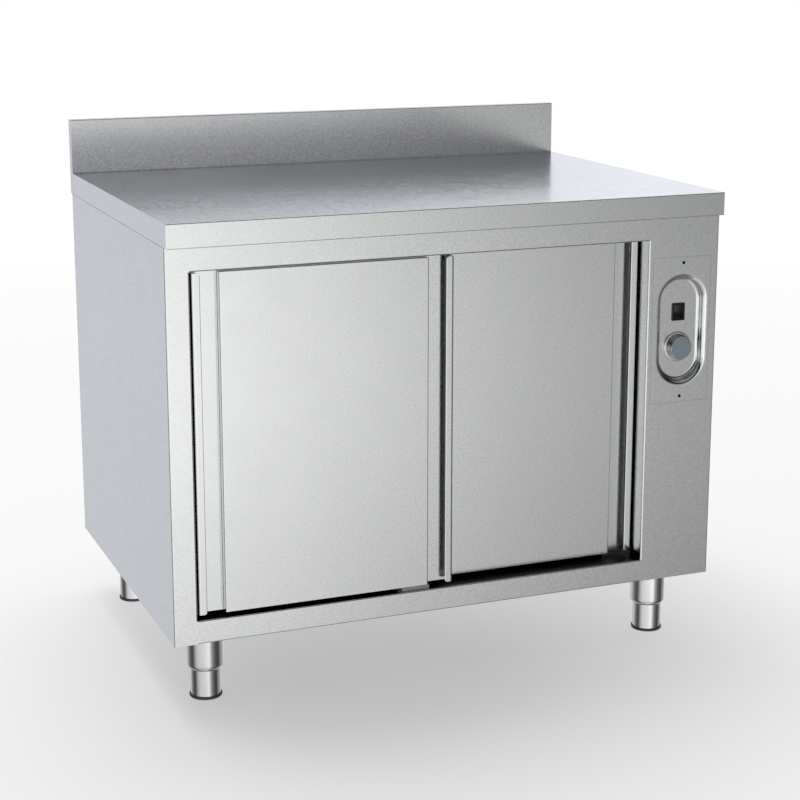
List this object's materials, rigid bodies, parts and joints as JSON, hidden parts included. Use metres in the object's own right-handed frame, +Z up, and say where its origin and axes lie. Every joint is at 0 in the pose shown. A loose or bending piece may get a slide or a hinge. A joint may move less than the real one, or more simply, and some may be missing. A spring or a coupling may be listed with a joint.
{
  "type": "plate warmer cabinet",
  "caption": "Stainless heated cupboard with a flat worktop, rear upstand, sliding doors with folded grips, a recessed control panel and tubular feet.",
  "frame": {"origin": "on the floor, under the middle of the worktop's outline", "axes": "+X to the right-hand end as seen from the front, +Y from the doors to the back, +Z up"},
  "size_m": [1, 0.7, 0.926],
  "materials": {
    "brushed_stainless": "fine satin brush, #4 finish",
    "plain_stainless": "plain mill finish stainless",
    "galvanised_steel": "dull zinc",
    "mineral_wool": "yellow-brown fibre",
    "nylon": "natural nylon, satin",
    "grey_plastic": "light grey, moulded",
    "rubber_black": "matt",
    "screw_steel": "blackened steel",
    "switch_black": "satin black",
    "rocker_black": "semi-gloss black",
    "thermostat_case": "plated steel case",
    "shaft_steel": "turned",
    "knob_metal": "turned, satin",
    "knob_face": "blue-grey, matt",
    "fan_aluminium": "pressed sheet",
    "motor_iron": "dark lacquered laminations",
    "element_steel": "heat-tinted sheath",
    "leg_steel": "bright drawn tube",
    "foot_plastic": "dark grey-black"
  },
  "bodies": {
    "cabinet": {"worktop": "brushed_stainless", "worktop_stiffeners": "galvanised_steel", "left_side_panel": "brushed_stainless", "right_side_panel": "brushed_stainless", "top_rail": "brushed_stainless", "base_panel": "plain_stainless", "back_panel": "galvanised_steel", "chamber_left_wall": "plain_stainless", "chamber_back_wall": "plain_stainless", "chamber_ceiling": "plain_stainless", "chamber_floor": "plain_stainless", "partition": "galvanised_steel", "air_baffle": "plain_stainless", "insulation_left": "mineral_wool", "insulation_back": "mineral_wool", "insulation_top": "mineral_wool", "insulation_bottom": "mineral_wool", "shelf": "plain_stainless", "shelf_uprights": "plain_stainless", "shelf_clips": "plain_stainless", "front_track": "galvanised_steel", "rear_track": "galvanised_steel", "track_stops": "rubber_black", "bottom_guide": "grey_plastic", "cover_frame": "galvanised_steel", "control_cover": "brushed_stainless", "cover_screws": "screw_steel", "switch_housing": "switch_black", "thermostat_body": "thermostat_case", "knob_bezel": "knob_metal", "terminal_block": "grey_plastic", "cable_gland": "grey_plastic", "fan_motor": "motor_iron", "heating_element": "element_steel", "leg_sleeves": "leg_steel"},
    "left_door": {"left_door_front_skin": "brushed_stainless", "left_door_back_skin": "brushed_stainless", "left_door_insulation": "mineral_wool", "left_door_hangers": "galvanised_steel"},
    "right_door": {"right_door_front_skin": "brushed_stainless", "right_door_back_skin": "brushed_stainless", "right_door_insulation": "mineral_wool", "right_door_hangers": "galvanised_steel"},
    "left_door_roller_left": {"left_door_roller_left": "nylon"},
    "left_door_roller_right": {"left_door_roller_right": "nylon"},
    "right_door_roller_left": {"right_door_roller_left": "nylon"},
    "right_door_roller_right": {"right_door_roller_right": "nylon"},
    "rocker": {"switch_rocker": "rocker_black"},
    "thermostat_knob": {"knob": "knob_metal", "knob_cap": "knob_face", "thermostat_shaft": "shaft_steel"},
    "fan": {"fan_impeller": "fan_aluminium"},
    "foot_front_left": {"leg_tube_front_left": "leg_steel", "leg_pad_front_left": "foot_plastic"},
    "foot_rear_left": {"leg_tube_rear_left": "leg_steel", "leg_pad_rear_left": "foot_plastic"},
    "foot_front_right": {"leg_tube_front_right": "leg_steel", "leg_pad_front_right": "foot_plastic"},
    "foot_rear_right": {"leg_tube_rear_right": "leg_steel", "leg_pad_rear_right": "foot_plastic"}
  },
  "joints": [
    {"name": "left_door_slide", "type": "slide", "parent": "cabinet", "child": "left_door", "axis": [1, 0, 0], "range_m": [0, 0.3645]},
    {"name": "right_door_slide", "type": "slide", "parent": "cabinet", "child": "right_door", "axis": [-1, 0, 0], "range_m": [0, 0.3645]},
    {"name": "left_door_roller_left_spin", "type": "hinge", "parent": "left_door", "child": "left_door_roller_left", "pos_m": [-0.4215, -0.3165, 0.7693], "axis": [0, 1, 0], "range_deg": [0, 2700]},
    {"name": "left_door_roller_right_spin", "type": "hinge", "parent": "left_door", "child": "left_door_roller_right", "pos_m": [-0.0415, -0.3165, 0.7693], "axis": [0, 1, 0], "range_deg": [0, 2700]},
    {"name": "right_door_roller_left_spin", "type": "hinge", "parent": "right_door", "child": "right_door_roller_left", "pos_m": [-0.057, -0.2855, 0.7693], "axis": [0, -1, 0], "range_deg": [0, 2700]},
    {"name": "right_door_roller_right_spin", "type": "hinge", "parent": "right_door", "child": "right_door_roller_right", "pos_m": [0.323, -0.2855, 0.7693], "axis": [0, -1, 0], "range_deg": [0, 2700]},
    {"name": "rocker_tilt", "type": "hinge", "parent": "cabinet", "child": "rocker", "pos_m": [0.43075, -0.32, 0.614], "axis": [1, 0, 0], "range_deg": [0, 16]},
    {"name": "knob_turn", "type": "hinge", "parent": "cabinet", "child": "thermostat_knob", "pos_m": [0.43075, -0.322, 0.551], "axis": [0, 1, 0], "range_deg": [0, 270]},
    {"name": "fan_spin", "type": "hinge", "parent": "cabinet", "child": "fan", "pos_m": [0.3425, 0.017, 0.3], "axis": [1, 0, 0], "continuous": true},
    {"name": "foot_front_left_height", "type": "slide", "parent": "cabinet", "child": "foot_front_left", "axis": [0, 0, -1], "range_m": [0, 0.045]},
    {"name": "foot_rear_left_height", "type": "slide", "parent": "cabinet", "child": "foot_rear_left", "axis": [0, 0, -1], "range_m": [0, 0.045]},
    {"name": "foot_front_right_height", "type": "slide", "parent": "cabinet", "child": "foot_front_right", "axis": [0, 0, -1], "range_m": [0, 0.045]},
    {"name": "foot_rear_right_height", "type": "slide", "parent": "cabinet", "child": "foot_rear_right", "axis": [0, 0, -1], "range_m": [0, 0.045]}
  ],
  "couplings": [
    {"joint": "left_door_roller_left_spin", "follows": "left_door_slide", "rad_per_m": 125},
    {"joint": "left_door_roller_right_spin", "follows": "left_door_slide", "rad_per_m": 125},
    {"joint": "right_door_roller_left_spin", "follows": "right_door_slide", "rad_per_m": 125},
    {"joint": "right_door_roller_right_spin", "follows": "right_door_slide", "rad_per_m": 125}
  ]
}
